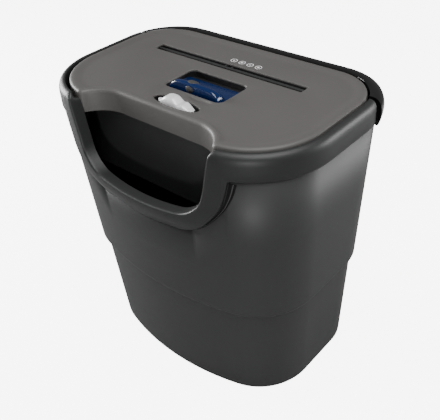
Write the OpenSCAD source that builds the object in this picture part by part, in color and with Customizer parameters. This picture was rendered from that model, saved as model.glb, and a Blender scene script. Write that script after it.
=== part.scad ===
// Paper shredder: a cutting head that lifts off a tapered waste bin.
// X runs along the paper slot, +Y to the back, +Z up; the origin is under the middle of the base.

/* [Overall] */
// Width of the full outline that the rear cap follows
overall_w = 370; // [370:1:460]
// Depth from the front hoop to the rear cap
overall_d = 253; // [250:1:310]
// Height over the rim of the top cover
overall_h = 370; // [330:1:460]

/* [Bin] */
// How far each side leans in from the rim to the base
side_taper = 23; // [8:1:36]
// How far the front leans in from the hoop to the base
front_taper = 25.5; // [20:0.5:40]
// Corner radius of the base
base_r = 62; // [45:1:70]
// Wall thickness of the bin
bin_wall = 2.5; // [2:0.1:4]
// Height of the step in the wall
ledge_z = 140; // [100:1:180]
// How far the wall steps out there
ledge_step = 4.6; // [2:0.1:6]
// Height of the collar
collar_h = 30; // [24:1:36]
// Radial thickness of the collar outside the bin wall
collar_t = 5; // [4:0.1:6]

/* [Front opening] */
// Half width of the opening at its top
mouth_hw = 103; // [80:1:105]
// Depth of the opening below the top
mouth_drop = 90; // [84:0.5:96]
// Width of the band round the opening
hoop_w = 26; // [22:1:27]
// How far the hoop stands proud of the wall
hoop_proud = 8; // [5:0.1:10]
// How far the uprights lean in from the top to the lip
mouth_lean = 19; // [10:1:24]

/* [Top cover] */
// Depth of the skirt of the cover
skirt_h = 26; // [22:1:34]
// Wall thickness of the cover
cover_t = 3; // [2:0.1:4]
// Gap between the cover and the collar
cover_gap = 3; // [2:0.1:5]
// Length of the scallop's straight part in Y, from the front apex
scallop_d = 36; // [30:1:42]
// Width of the rear cap behind the cover
cap_band = 22; // [18:1:26]

/* [Controls] */
// X of the middle of the controls
control_x = 7; // [-20:1:20]
// Length of the lock's window in X
lock_w = 84; // [60:1:90]
// Length of the lock's window in Y
lock_d = 49; // [44:1:56]
// Travel of the lock slide
lock_travel = 8; // [5:0.5:10]
// Length of the power switch window
switch_w = 64; // [56:1:66]
// Width of the power switch window
switch_d = 19; // [16:1:22]
// How far the switch sits to the right of the lock
switch_shift = 2; // [0:1:8]
// Travel of the power switch to each side
switch_travel = 5; // [3:0.5:5]

/* [Cutting unit] */
// Length of the paper slot
slot_len = 222; // [216:1:230]
// Width of the paper slot at the top
slot_w = 14; // [10:1:16]
// X of the middle of the slot
slot_x = -8; // [-10:1:0]
// Outer radius of a cutting disc
disc_r = 19; // [17:0.5:19]
// Distance between the cutting shafts
shaft_gap = 34; // [34:1:38]
// Thickness of a cutting disc
disc_t = 3.6; // [2.8:0.1:3.6]
// Distance from one disc to the next on a shaft
disc_pitch = 8; // [8:1:12]
// Radius of the shaft ends
journal_r = 6; // [5:0.1:7]
// Radial running clearance of the bearings
run_clear = 0.05; // [0.03:0.01:0.1]

/* [Gears] */
// Module of the motor stage
mod_1 = 1; // [0.8:0.05:1]
// Module of the middle stage
mod_2 = 1.25; // [1:0.05:1.25]
// Module of the last stage
mod_3 = 1.5; // [1.25:0.05:1.5]
// Teeth of each pinion
pinion_n = 12; // [12:1:14]
// Teeth of the first wheel
wheel_1_n = 48; // [40:1:48]
// Teeth of the second wheel and of the drive gear
wheel_2_n = 36; // [32:1:36]

/* [Motor] */
// Outer radius of the motor case
motor_r = 26; // [22:0.5:27]
// Length of the motor case
motor_len = 84; // [70:1:90]
// Radius of the motor shaft
motor_shaft_r = 3; // [2.5:0.1:3.5]

/* [Hidden] */
$fn = 48;

// --- Plan of the shells -------------------------------------------------
top_z = overall_h;
back_y = overall_d / 2;
front_y = -overall_d / 2;
cover_back = back_y - cap_band;
cover_front = front_y + 14;
cap_step = 16;
cover_hw = overall_w / 2 - cap_step;
cover_rb = 58;
cover_rf = 81;
cover_sag = 34;
collar_z = top_z - collar_h;
rim_z = top_z - 12;
lip_z = top_z - mouth_drop;
rim_hw = cover_hw + cover_gap + bin_wall + 1.5;
rim_back = back_y - 8;
base_back = rim_back - 6.5;
base_front = front_y + front_taper;
base_hw = rim_hw - side_taper;
// the wall's front line passes exactly hoop_proud behind front_y at the lip
rim_front = base_front + (front_y + hoop_proud + ledge_step - base_front) * rim_z / lip_z;
ledge_h = 9;
cap_rb = cover_rb + cap_step;

function arc(cx, cy, r, a0, a1, n, skip = 0) =
    [for (i = [skip:n]) let (a = a0 + (a1 - a0) * i / n) [cx + r * cos(a), cy + r * sin(a)]];
function flip(p) = [for (i = [len(p) - 1:-1:0]) [-p[i][0], p[i][1]]];
// Plan outline: straight back and sides, bowed front, n steps to each curve
function plan(hw, yb, yf, rb, rf, sag, n = 9) =
    let (
        big = (hw * hw + sag * sag) / (2 * sag),
        cy = yf + big,
        cx = hw - rf,
        cyr = cy - sqrt((big - rf) * (big - rf) - cx * cx),
        a_end = atan2(cyr - cy, cx),
        right = concat(
            arc(0, cy, big, -90, a_end, n),
            arc(cx, cyr, rf, a_end, 0, n, 1),
            arc(hw - rb, yb - rb, rb, 0, 90, n)
        ),
        left = flip([for (i = [1:len(right) - 1]) right[i]])
    ) concat(right, left);
function cover_plan(o = 0, n = 9) =
    plan(cover_hw + o, cover_back + o, cover_front - o, cover_rb + o, cover_rf + o, cover_sag, n);
function step_at(z) = ledge_step * min(1, max(0, (z - ledge_z) / ledge_h));
// Outline of the bin's outer face at height z, offset by o
function bin_plan(z, o = 0, n = 9) =
    let (t = z / rim_z, k = o + step_at(z) - ledge_step * t)
    plan(base_hw + (rim_hw - base_hw) * t + k,
        base_back + (rim_back - base_back) * t + k,
        base_front + (rim_front - base_front) * t - o - step_at(z),
        base_r + k, base_r + 15 + k, 36, n);
function cap_plan(o = 0, n = 9) =
    let (front = cover_front - cap_step - o)
    plan(overall_w / 2 + o, back_y + o, front, cap_rb + o, cover_rf + cap_step + o, cover_sag, n);
function at_z(p, z) = [for (q = p) [q[0], q[1], z]];

// Solid through a stack of rings that all have the same number of points
module loft(rings) {
    n = len(rings[0]);
    m = len(rings);
    pts = [for (r = rings) each r];
    sides = [for (j = [0:m - 2], i = [0:n - 1]) let (k = (i + 1) % n)
        each [[j * n + i, j * n + k, (j + 1) * n + k], [j * n + i, (j + 1) * n + k, (j + 1) * n + i]]];
    bottom = [for (i = [n - 1:-1:0]) i];
    top = [for (i = [0:n - 1]) (m - 1) * n + i];
    faces = concat(sides, [bottom, top]);
    polyhedron(points = pts, faces = [for (f = faces) [for (i = [len(f) - 1:-1:0]) f[i]]]);
}
// One smooth mesh out of everything inside
module shell() { resize([0, 0, 0]) render() children(); }
// Cylinder along X between x0 and x1 at (y, z)
module rod(x0, x1, y, z, r) {
    translate([x0, y, z]) rotate([0, 90, 0]) cylinder(r = r, h = x1 - x0);
}
module block(x0, x1, y0, y1, z0, z1) {
    translate([x0, y0, z0]) cube([x1 - x0, y1 - y0, z1 - z0]);
}
// Profile drawn in Y and Z, extruded along X from x0 to x1
module along_x(x0, x1) {
    translate([x0, 0, 0]) rotate([90, 0, 90]) linear_extrude(x1 - x0) children();
}
// Profile drawn in X and Z, extruded along Y from y0 to y1
module along_y(y0, y1) {
    translate([0, y1, 0]) rotate([90, 0, 0]) linear_extrude(y1 - y0) children();
}

// --- Bin ----------------------------------------------------------------
module mouth_2d(o = 0) {
    r = 34;
    low = mouth_hw - mouth_lean;
    offset(r = r) offset(delta = -r + o)
        polygon(concat([[-mouth_hw, top_z + 90], [-mouth_hw, top_z]],
            [for (i = [-6:6]) [low * i / 6, lip_z + 8 * pow(i / 6, 2)]],
            [[mouth_hw, top_z], [mouth_hw, top_z + 90]]));
}
module hoop_2d() {
    offset(r = -6) offset(delta = 6) {
        intersection() {
            offset(r = hoop_w) mouth_2d();
            translate([-overall_w, 0]) square([2 * overall_w, top_z]);
        }
        translate([-overall_w, collar_z]) square([2 * overall_w, collar_h + 20]);
    }
}
collar_end = cover_back - 40;
seat_z = top_z - skirt_h;
notch_x = -110;
module seat_blocks() {
    for (sx = [-1, 1], y = [-40, plunger_y, 56])
        translate([sx * cover_hw - 8.5, y - 10, seat_z - 12]) cube([17, 20, 12]);
}
module bin_solid(o, z0, z1) {
    zs = [z0, ledge_z, ledge_z + ledge_h, z1];
    loft([for (z = zs) at_z(bin_plan(z, o), z)]);
}
module waste_bin() {
    color("dimgray") shell() {
        difference() {
            loft(concat([at_z(bin_plan(0, -4), 0), at_z(bin_plan(4, 0), 4)],
                [for (z = [ledge_z, ledge_z + ledge_h, rim_z]) at_z(bin_plan(z), z)]));
            loft(concat([at_z(bin_plan(bin_wall, -bin_wall - 4), bin_wall), at_z(bin_plan(7, -bin_wall), 7)],
                [for (z = [ledge_z, ledge_z + ledge_h, top_z]) at_z(bin_plan(z, -bin_wall), z)]));
            along_y(front_y - 20, 0) mouth_2d(3);
            translate([notch_x - 14, base_back, rim_z - 26]) cube([28, 40, 40]);
        }
        intersection() {
            seat_blocks();
            bin_solid(-bin_wall / 2, 0, top_z);
        }
    }
}
module collar_solid() {
    o = rim_hw + collar_t - cover_hw;
    loft([for (q = [[-collar_h, -3.6], [-collar_h + 3, -1.6], [-collar_h + 7, 0], [-12, 0], [-5, -1.5],
        [-1.5, -4], [-0.5, -7]])
        at_z(cover_plan(o + q[1]), top_z + q[0])]);
}
module bin_collar() {
    hoop_low = lip_z - hoop_w;
    color("#353737") shell() difference() {
        union() {
            difference() {
                collar_solid();
                translate([0, 0, rim_z]) linear_extrude(30) polygon(cover_plan(cover_gap));
                loft([for (z = [collar_z - 1, rim_z]) at_z(bin_plan(z, 0.03), z)]);
                translate([-overall_w, collar_end, 0]) cube([2 * overall_w, overall_d, top_z + 9]);
            }
            intersection() {
                difference() {
                    loft([for (q = [[hoop_low - 10, 2], [hoop_low + 8, hoop_proud - 2],
                        [lip_z - 4, hoop_proud], [collar_z + 4, 3.4], [rim_z, 2.2]])
                        at_z(bin_plan(q[0], q[1]), q[0])]);
                    loft([for (z = [hoop_low - 20, rim_z + 1]) at_z(bin_plan(z, 0.03), z)]);
                }
                along_y(front_y - 20, cover_front + 60) hoop_2d();
            }
            intersection() {
                difference() {
                    loft([for (z = [lip_z - 10, rim_z]) at_z(bin_plan(z, 0.5), z)]);
                    loft([for (z = [lip_z - 20, rim_z + 1]) at_z(bin_plan(z, -9), z)]);
                }
                along_y(front_y - 20, cover_front + 50) mouth_2d(3);
                translate([-overall_w, front_y - 20, 0]) cube([2 * overall_w, 90, seat_z - 1]);
            }
        }
        along_y(front_y - 40, 0) mouth_2d();
    }
}

// --- Head shells --------------------------------------------------------
cover_mid_y = (cover_back + cover_front) / 2;
slot_y = cover_back - 67;
lock_y = cover_mid_y - 3.5;
switch_x = control_x + switch_shift;
switch_y = cover_mid_y - 52.5;
scallop_y = cover_front + scallop_d;
dish_z = top_z - 1.5;
deck_z = dish_z - cover_t;
housing_floor = top_z - 112;
housing_hw = cover_hw - 10;
housing_back = cover_back - 7;
housing_front = scallop_y + 5;
housing_r = 40;
boss_x = housing_hw - 7.5;
boss_split = top_z - 80;
gland_z = top_z - 22;

module scallop_2d(o = 0) {
    r = 45;
    offset(r = r) offset(delta = -r + o)
        polygon([[-mouth_hw, front_y - 90], [mouth_hw, front_y - 90],
            [mouth_hw, scallop_y], [-mouth_hw, scallop_y]]);
}
module cover_2d(o = 0) {
    offset(r = -3) offset(delta = 3) offset(r = 3) offset(delta = -3)
        difference() {
            polygon(cover_plan(o, 12));
            scallop_2d(-o);
        }
}
module window_2d(x, y, w, d, r, o = 0) {
    translate([x, y]) offset(r = r + o) square([w - 2 * r, d - 2 * r], center = true);
}
module top_cover() {
    lock_floor = dish_z - 9;
    switch_floor = dish_z - 8;
    color("#6a6867") shell() difference() {
        union() {
            difference() {
                intersection() {
                    loft([for (q = [[-skirt_h, 0], [-4, 0], [-1, -1.5], [0, -5], [-0.4, -9], [-1.5, -13]])
                        at_z(cover_plan(q[1], 12), top_z + q[0])]);
                    linear_extrude(top_z + 1) cover_2d();
                }
                translate([0, 0, seat_z - 1]) linear_extrude(deck_z - seat_z + 1) cover_2d(-cover_t);
            }
            translate([0, 0, lock_floor - 2]) linear_extrude(dish_z - lock_floor)
                window_2d(control_x, lock_y, lock_w, lock_d, 8, 2);
            translate([0, 0, switch_floor - 2]) linear_extrude(dish_z - switch_floor)
                window_2d(switch_x, switch_y, switch_w, switch_d, 8, 2);
            for (sx = [-1, 1], y = [-20, 52])
                translate([sx * boss_x, y, boss_split])
                    cylinder(r = 4, h = deck_z - boss_split + 1, $fn = 20);
        }
        translate([slot_x - slot_len / 2, slot_y - slot_w / 2, deck_z - 5]) cube([slot_len, slot_w, 20]);
        translate([0, 0, lock_floor]) linear_extrude(30)
            window_2d(control_x, lock_y, lock_w, lock_d, 8);
        translate([0, 0, switch_floor]) linear_extrude(30)
            window_2d(switch_x, switch_y, switch_w, switch_d, 8);
        translate([control_x - 7, lock_y - 9, lock_floor - 9]) cube([14, 18 + lock_travel, 12]);
        translate([switch_x - 4 - switch_travel, switch_y - 3, switch_floor - 9])
            cube([8 + 2 * switch_travel, 6, 12]);
        for (sx = [-1, 1], y = [-20, 52])
            translate([sx * boss_x, y, boss_split - 1]) cylinder(r = 1.6, h = 15, $fn = 24);
        translate([notch_x, cover_back - 30, gland_z]) rotate([-90, 0, 0]) cylinder(r = 8, h = 60, $fn = 24);
    }
}
module rear_cap() {
    low = collar_h + 3;
    color("#0b0b0c") shell() difference() {
        loft([for (q = [[-low, -4.5], [-low + 4, -1.8], [-low + 9, -0.4], [-17, 0], [-11, -0.6],
            [-6, -2.6], [-3, -5.5], [-1.5, -9]])
            at_z(cap_plan(q[1]), top_z + q[0])]);
        translate([0, 0, top_z - low - 1]) linear_extrude(low - 8) difference() {
            polygon(cap_plan(-6));
            polygon(cover_plan(4.5));
        }
        translate([0, 0, top_z - low - 1]) linear_extrude(10) polygon(cover_plan(2));
        translate([0, 0, top_z - low - 2]) linear_extrude(low + 9) polygon(cover_plan(0, 12));
        translate([0, 0, top_z - 10]) linear_extrude(20) polygon(cover_plan(2));
        translate([-overall_w, -2 * overall_d, 0])
            cube([2 * overall_w, 2 * overall_d + collar_end + 5, top_z + 9]);
        translate([notch_x, cover_back - 30, gland_z]) rotate([-90, 0, 0]) cylinder(r = 7.05, h = 80);
    }
}
module housing_2d(o = 0) {
    translate([0, (housing_back + housing_front) / 2])
        union() {
            hw = housing_hw + o;
            hd = (housing_back - housing_front) / 2 + o;
            r = housing_r + o;
            square([2 * (hw - r), 2 * hd], center = true);
            square([2 * hw, 2 * (hd - r)], center = true);
            for (sx = [-1, 1], sy = [-1, 1]) translate([sx * (hw - r), sy * (hd - r)]) circle(r = r);
        }
}
outlet_x = slot_len / 2 - 4;
outlet_y = shaft_gap / 2 + 14;
module lower_housing() {
    color("#222325") difference() {
        union() {
            difference() {
                translate([0, 0, housing_floor]) linear_extrude(deck_z - housing_floor) housing_2d();
                translate([0, 0, housing_floor + 3]) linear_extrude(top_z) housing_2d(-3);
            }
            for (sx = [-1, 1], y = [-20, 52])
                translate([sx * boss_x, y, housing_floor]) cylinder(r = 5, h = boss_split - housing_floor);
        }
        block(slot_x - outlet_x, slot_x + outlet_x, slot_y - outlet_y, slot_y + outlet_y,
            housing_floor - 5, housing_floor + 20);
        for (sx = [-1, 1], y = [-20, 52]) translate([sx * boss_x, y, 0]) {
            translate([0, 0, housing_floor - 5]) cylinder(r = 3.4, h = boss_split - housing_floor - 1);
            translate([0, 0, housing_floor - 5]) cylinder(r = 1.7, h = boss_split - housing_floor + 10);
        }
        translate([notch_x, housing_back - 30, gland_z]) rotate([-90, 0, 0]) cylinder(r = 6, h = 60);
        for (p = frame_screw_points) translate([p[0], p[1], floor_z - 1.5]) cylinder(r = 2, h = 4);
        block(switch_x - switch_w / 2 - 3, switch_x + switch_w / 2 + 3, housing_front - 1,
            housing_front + 8, dish_z - 10.5, top_z);
    }
}

// --- Cutting unit -------------------------------------------------------
cut_z = top_z - 58;
front_y_c = slot_y - shaft_gap / 2;
rear_y_c = slot_y + shaft_gap / 2;
disc_n = floor((slot_len - 4) / disc_pitch);
stack = disc_n * disc_pitch;
stack_x = slot_x - stack / 2;
core_r = shaft_gap - disc_r - 1;
frame_in = slot_len / 2 + 3;
frame_t = 3;
frame_out = frame_in + frame_t;
left_x = slot_x - frame_out;
right_x = slot_x + frame_out;
bush_r = journal_r + 3;
floor_z = housing_floor + 3;
frame_top = cut_z + 26;
stage_1 = right_x + 3;
stage_2 = stage_1 + 8;
stage_3 = stage_2 + 8;
plate_x = stage_3 + 11;

// Gear positions: the motor in front, then two idlers up to the front cutter
motor_y = front_y_c - 53;
motor_z = cut_z - 12;
motor_c = [motor_y, motor_z];
cd_1 = mod_1 * (pinion_n + wheel_1_n) / 2;
cd_2 = mod_2 * (pinion_n + wheel_2_n) / 2;
cd_3 = mod_3 * (pinion_n + wheel_2_n) / 2;
g1 = [motor_y + cd_1 * cos(-25), motor_z + cd_1 * sin(-25)];
shaft_f = [front_y_c, cut_z];
span = norm(shaft_f - g1);
along = (cd_2 * cd_2 - cd_3 * cd_3 + span * span) / (2 * span);
aside = sqrt(cd_2 * cd_2 - along * along);
dir = (shaft_f - g1) / span;
g2 = g1 + along * dir + aside * [-dir[1], dir[0]];
function bearing_of(a, b) = atan2(b[1] - a[1], b[0] - a[0]);

// Involute tooth form, 25 degree pressure angle, stub addendum
pressure = 25;
backlash = 0.09;
function inv(r, rb) = r <= rb ? 0 : sqrt(r * r / (rb * rb) - 1) * 180 / PI - acos(rb / r);
function gear_points(m, n) =
    let (
        rp = m * n / 2, rb = rp * cos(pressure), ra = rp + 0.8 * m, rr = rp - 1.1 * m,
        half = 90 / n - backlash * 180 / PI / rp * m + inv(rp, rb),
        radii = [for (i = [0:4]) max(rb, rr) + (ra - max(rb, rr)) * i / 4]
    )
    [for (k = [0:n - 1]) each concat(
        [let (a = k * 360 / n - half) [rr * cos(a), rr * sin(a)]],
        [for (r = radii) let (a = k * 360 / n - half + inv(r, rb)) [r * cos(a), r * sin(a)]],
        [for (i = [4:-1:0])
            let (r = radii[i], a = k * 360 / n + half - inv(r, rb)) [r * cos(a), r * sin(a)]],
        [let (a = k * 360 / n + half) [rr * cos(a), rr * sin(a)]]
    )];
// Gear with its axis along X at (y, z) = c, one tooth pointing at angle a
module gear(m, n, x0, x1, c, a) {
    translate([0, c[0], c[1]]) along_x(x0, x1) rotate(a) polygon(gear_points(m, n));
}

module cutter_discs(y, first, hand) {
    for (k = [0:disc_n - 1]) {
        x = stack_x + first + k * disc_pitch;
        translate([0, y, cut_z]) along_x(x, x + disc_t) rotate(hand * k * 13)
            polygon([for (t = [0:5]) each [
                for (s = [[0, disc_r], [12, disc_r - 0.15], [24, disc_r - 0.25], [36, disc_r - 0.4],
                    [48, disc_r - 0.8], [57, disc_r - 3]])
                    let (a = t * 60 + hand * s[0]) [s[1] * cos(a), s[1] * sin(a)]]]);
    }
}
module cutter_shaft(y, x0, x1) {
    rod(x0, x1, y, cut_z, journal_r);
    rod(stack_x - 1, stack_x + stack + 1, y, cut_z, core_r);
}
module cutter_shaft_front() {
    color("silver") union() {
        cutter_shaft(front_y_c, left_x - 14, stage_3 + 9);
        cutter_discs(front_y_c, 0, 1);
    }
}
module cutter_shaft_rear() {
    color("silver") union() {
        cutter_shaft(rear_y_c, left_x - 14, right_x + 2);
        cutter_discs(rear_y_c, disc_pitch / 2, -1);
    }
}
timing_n = 17;
timing_mod = shaft_gap / timing_n;
module timing_gear_front() {
    color("dimgray") difference() {
        gear(timing_mod, timing_n, left_x - 13, left_x - 4, shaft_f, 0);
        rod(left_x - 20, left_x, front_y_c, cut_z, journal_r);
    }
}
module timing_gear_rear() {
    color("dimgray") difference() {
        gear(timing_mod, timing_n, left_x - 13, left_x - 4, [rear_y_c, cut_z], 180 + 180 / timing_n);
        rod(left_x - 20, left_x, rear_y_c, cut_z, journal_r);
    }
}
module drive_gear() {
    color("ivory") difference() {
        gear(mod_3, wheel_2_n, stage_3, stage_3 + 8, shaft_f, bearing_of(shaft_f, g2) + 180 / wheel_2_n);
        rod(stage_3 - 1, stage_3 + 9.5, front_y_c, cut_z, journal_r);
    }
}
pin_r = 3;
module first_gear() {
    color("ivory") difference() {
        union() {
            gear(mod_1, wheel_1_n, stage_1, stage_1 + 6, g1, bearing_of(g1, motor_c) + 180 / wheel_1_n);
            gear(mod_2, pinion_n, stage_1 + 5, stage_2 + 6.5, g1, bearing_of(g1, g2));
        }
        rod(stage_1 - 1, stage_2 + 9, g1[0], g1[1], pin_r + run_clear);
    }
}
module second_gear() {
    color("ivory") difference() {
        union() {
            gear(mod_2, wheel_2_n, stage_2, stage_2 + 6, g2, bearing_of(g2, g1) + 180 / wheel_2_n);
            gear(mod_3, pinion_n, stage_2 + 5, stage_3 + 8.5, g2, bearing_of(g2, shaft_f));
        }
        rod(stage_2 - 1, stage_3 + 11, g2[0], g2[1], pin_r + run_clear);
    }
}
module gear_pins() {
    color("silver") for (g = [g1, g2]) rod(right_x, plate_x + 2.5, g[0], g[1], pin_r);
}

rods = [[front_y_c - 31.5, cut_z - 37], [rear_y_c + 22, cut_z - 28], [rear_y_c + 22, cut_z + 19],
    [front_y_c - 22, cut_z + 22]];
spacers = [[motor_y - 17, cut_z + 18], [motor_y - 17, cut_z - 42], [rear_y_c + 9, cut_z + 18],
    [rear_y_c + 5, cut_z - 42]];
frame_screw_points = [[left_x - 6, front_y_c - 21], [left_x - 6, rear_y_c + 17],
    [right_x + 6, rear_y_c + 17], [right_x + 6, motor_y - 19]];
module plate_2d(y0, y1) { translate([y0, floor_z]) square([y1 - y0, frame_top - floor_z]); }
module foot(x0, x1, y0, y1) {
    difference() {
        block(x0, x1, y0, y1, floor_z, floor_z + 2);
        translate([(x0 + x1) / 2, (y0 + y1) / 2, floor_z - 1]) cylinder(r = 2.2, h = 4);
    }
}
module shaft_holes(x) {
    for (y = [front_y_c, rear_y_c]) rod(x - 9, x + 9, y, cut_z, bush_r);
}
module rod_holes(x) { for (p = rods) rod(x - 9, x + 9, p[0], p[1], 2); }
module left_frame() {
    color("lightgray") {
        difference() {
            along_x(left_x, left_x + frame_t) plate_2d(front_y_c - 40, rear_y_c + 30);
            shaft_holes(left_x);
            rod_holes(left_x);
        }
        for (y = [front_y_c - 30, rear_y_c + 8]) foot(left_x - 12, left_x, y, y + 18);
    }
}
module right_frame() {
    color("lightgray") {
        difference() {
            along_x(right_x - frame_t, right_x) plate_2d(motor_y - 30, rear_y_c + 30);
            shaft_holes(right_x);
            rod_holes(right_x);
            rod(right_x - 9, right_x + 9, motor_y, motor_z, 7);
            for (s = [-1, 1]) rod(right_x - 9, right_x + 9, motor_y, motor_z + s * 17, 2);
        }
        foot(right_x, right_x + 12, rear_y_c + 8, rear_y_c + 26);
        foot(right_x, right_x + 12, motor_y - 28, motor_y - 10);
    }
}
module tie_rods() {
    color("silver") for (p = rods) difference() {
        rod(left_x + frame_t, right_x - frame_t, p[0], p[1], 4);
        rod(left_x, left_x + frame_t + 12, p[0], p[1], 2);
        rod(right_x - frame_t - 12, right_x, p[0], p[1], 2);
    }
}
module rod_screws() {
    color("gray") for (p = rods) {
        rod(left_x - 2.2, left_x, p[0], p[1], 3.8);
        rod(left_x, left_x + frame_t + 10, p[0], p[1], 2);
        rod(right_x, right_x + 2.2, p[0], p[1], 3.8);
        rod(right_x - frame_t - 10, right_x, p[0], p[1], 2);
    }
}
module shaft_bushes() {
    color("goldenrod") for (x = [left_x - 2, right_x - 5], y = [front_y_c, rear_y_c]) difference() {
        rod(x, x + 7, y, cut_z, bush_r);
        rod(x - 1, x + 8, y, cut_z, journal_r + run_clear);
    }
}
module stripper(y, side) {
    finger_w = disc_pitch - disc_t - 1;
    bar = y + side * (disc_r + 4);
    far = y + side * (disc_r + 6.5);
    block(left_x + frame_t, right_x - frame_t, min(bar, far), max(bar, far), cut_z - 12, cut_z + 12);
    gap_x = stack_x + (side < 0 ? 0 : disc_pitch / 2) + disc_t + 0.5;
    for (k = [0:disc_n - 2]) along_x(gap_x + k * disc_pitch, gap_x + k * disc_pitch + finger_w) difference() {
        translate([min(y + side * 3, bar), cut_z - 8]) square([disc_r + 2, 16]);
        translate([y, cut_z]) circle(r = core_r + 0.6);
    }
}
module front_stripper() { color("#303030") stripper(front_y_c, -1); }
module rear_stripper() { color("#303030") stripper(rear_y_c, 1); }
module gear_plate() {
    color("lightgray") difference() {
        along_x(plate_x, plate_x + 2.5) plate_2d(motor_y - 22, rear_y_c + 15);
        for (g = [g1, g2]) rod(plate_x - 1, plate_x + 4, g[0], g[1], pin_r);
    }
}
module plate_spacers() {
    color("silver") for (p = spacers) rod(right_x, plate_x, p[0], p[1], 4);
}
flag_y = slot_y + 20;
flag_z = top_z - 18;
throat_low = cut_z + 22;
module throat_guide() {
    color("#303030") {
        difference() {
            along_x(slot_x - slot_len / 2, slot_x + slot_len / 2) {
                polygon([[slot_y + slot_w / 2, deck_z], [slot_y + slot_w / 2 + 4, deck_z],
                    [slot_y + 6, throat_low], [slot_y + 4, throat_low]]);
                polygon([[slot_y - slot_w / 2, deck_z], [slot_y - slot_w / 2 - 4, deck_z],
                    [slot_y - 6, throat_low], [slot_y - 4, throat_low]]);
            }
            block(slot_x - 3.5, slot_x + 3.5, slot_y, slot_y + 20, throat_low - 1, flag_z + 8);
        }
        for (x = [slot_x - slot_len / 2 - 2, slot_x + slot_len / 2])
            block(x, x + 2, slot_y - slot_w / 2 - 4, slot_y + slot_w / 2 + 4, throat_low, deck_z);
        for (x = [slot_x - 6, slot_x + 3.5]) difference() {
            block(x, x + 2.5, slot_y + 6.5, flag_y + 5, flag_z - 5, deck_z);
            rod(x - 1, x + 4, flag_y, flag_z, 1.5);
        }
    }
}
module flag_pin() { color("silver") rod(slot_x - 6, slot_x + 6, flag_y, flag_z, 1.5); }
module paper_flag() {
    color("white") difference() {
        union() {
            rod(slot_x - 2.5, slot_x + 2.5, flag_y, flag_z, 4);
            along_x(slot_x - 1.5, slot_x + 1.5)
                polygon([[flag_y, flag_z + 2.5], [slot_y - 1, flag_z - 6], [slot_y - 1.5, flag_z - 8.5],
                    [flag_y - 2, flag_z - 3]]);
        }
        rod(slot_x - 4, slot_x + 4, flag_y, flag_z, 1.5 + run_clear);
    }
}
module paper_switch() {
    color("black") block(slot_x + 6, slot_x + 12.4, flag_y - 9, flag_y + 11, flag_z - 5, flag_z + 5);
}

// --- Motor --------------------------------------------------------------
motor_x1 = right_x - frame_t;
motor_x0 = motor_x1 - motor_len;
module motor_rod(x0, x1, r) { rod(x0, x1, motor_y, motor_z, r); }
module motor_case() {
    color("#8d8f92") difference() {
        motor_rod(motor_x0, motor_x1, motor_r);
        motor_rod(motor_x0 - 1, motor_x1 - 5, motor_r - 2.5);
        motor_rod(motor_x0, motor_x1 + 1, 6);
        for (s = [-1, 1]) rod(motor_x1 - 8, motor_x1 + 1, motor_y, motor_z + s * 17, 1.8);
    }
}
module motor_end_cap() {
    color("#3a3a3a") difference() {
        motor_rod(motor_x0 - 8, motor_x0, motor_r);
        motor_rod(motor_x0 - 9, motor_x0 + 1, 6);
    }
}
module motor_bushes() {
    color("goldenrod") for (x = [motor_x0 - 8, motor_x1 - 6]) difference() {
        motor_rod(x, x + 6, 6);
        motor_rod(x - 1, x + 7, motor_shaft_r + run_clear);
    }
}
module field_magnets() {
    color("#4a4a4a") difference() {
        motor_rod(motor_x0 + 16, motor_x1 - 14, motor_r - 2.55);
        motor_rod(motor_x0 + 15, motor_x1 - 13, motor_r - 7);
        block(motor_x0, motor_x1, motor_y - 4, motor_y + 4, motor_z - 40, motor_z + 40);
    }
}
module motor_screws() {
    color("gray") for (s = [-1, 1]) {
        rod(motor_x1 - 7, right_x, motor_y, motor_z + s * 17, 1.8);
        rod(right_x, right_x + 2, motor_y, motor_z + s * 17, 3.4);
    }
}
module armature() {
    color("#b06a3a") union() {
        motor_rod(motor_x0 - 18, stage_1 + 7, motor_shaft_r);
        motor_rod(motor_x0 + 18, motor_x1 - 16, motor_r - 8);
        motor_rod(motor_x0 + 5, motor_x0 + 16, 9);
    }
}
module motor_pinion() {
    color("goldenrod") difference() {
        gear(mod_1, pinion_n, stage_1 - 0.5, stage_1 + 6.5, motor_c, bearing_of(motor_c, g1));
        motor_rod(stage_1 - 2, stage_1 + 8, motor_shaft_r);
    }
}
module cooling_fan() {
    color("#303030") difference() {
        union() {
            motor_rod(motor_x0 - 18, motor_x0 - 16.5, motor_r - 4);
            motor_rod(motor_x0 - 18, motor_x0 - 10, 6);
            for (k = [0:7]) translate([0, motor_y, motor_z]) rotate([k * 45, 0, 0])
                translate([motor_x0 - 17, -0.6, 5]) cube([6, 1.2, motor_r - 10]);
        }
        motor_rod(motor_x0 - 20, motor_x0, motor_shaft_r);
    }
}

// --- Electrics ----------------------------------------------------------
board_x0 = left_x + 8;
board_x1 = motor_x0 - 24;
board_y0 = housing_front + 7;
board_y1 = front_y_c - 36;
board_z = floor_z + 20;
board_top = board_z + 1.6;
board_holes = [for (x = [board_x0 + 5, board_x1 - 5], y = [board_y0 + 5, board_y1 - 5]) [x, y]];
module control_board() {
    color("darkgreen") difference() {
        block(board_x0, board_x1, board_y0, board_y1, board_z, board_top);
        for (p = board_holes) translate([p[0], p[1], board_z - 1]) cylinder(r = 1.5, h = 4);
    }
}
module board_posts() {
    color("#d8d8d8") for (p = board_holes) translate([p[0], p[1], floor_z]) {
        cylinder(r = 3, h = board_z - floor_z);
        cylinder(r = 1.5, h = board_top - floor_z);
        translate([0, 0, board_top - floor_z]) cylinder(r = 2.6, h = 1.8);
    }
}
module relay() {
    color("royalblue")
        block(board_x0 + 14, board_x0 + 33, board_y0 + 5, board_y0 + 20, board_top, board_top + 15);
}
module capacitor() {
    color("gold")
        block(board_x0 + 40, board_x0 + 62, board_y0 + 6, board_y0 + 16, board_top, board_top + 16);
}
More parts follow.
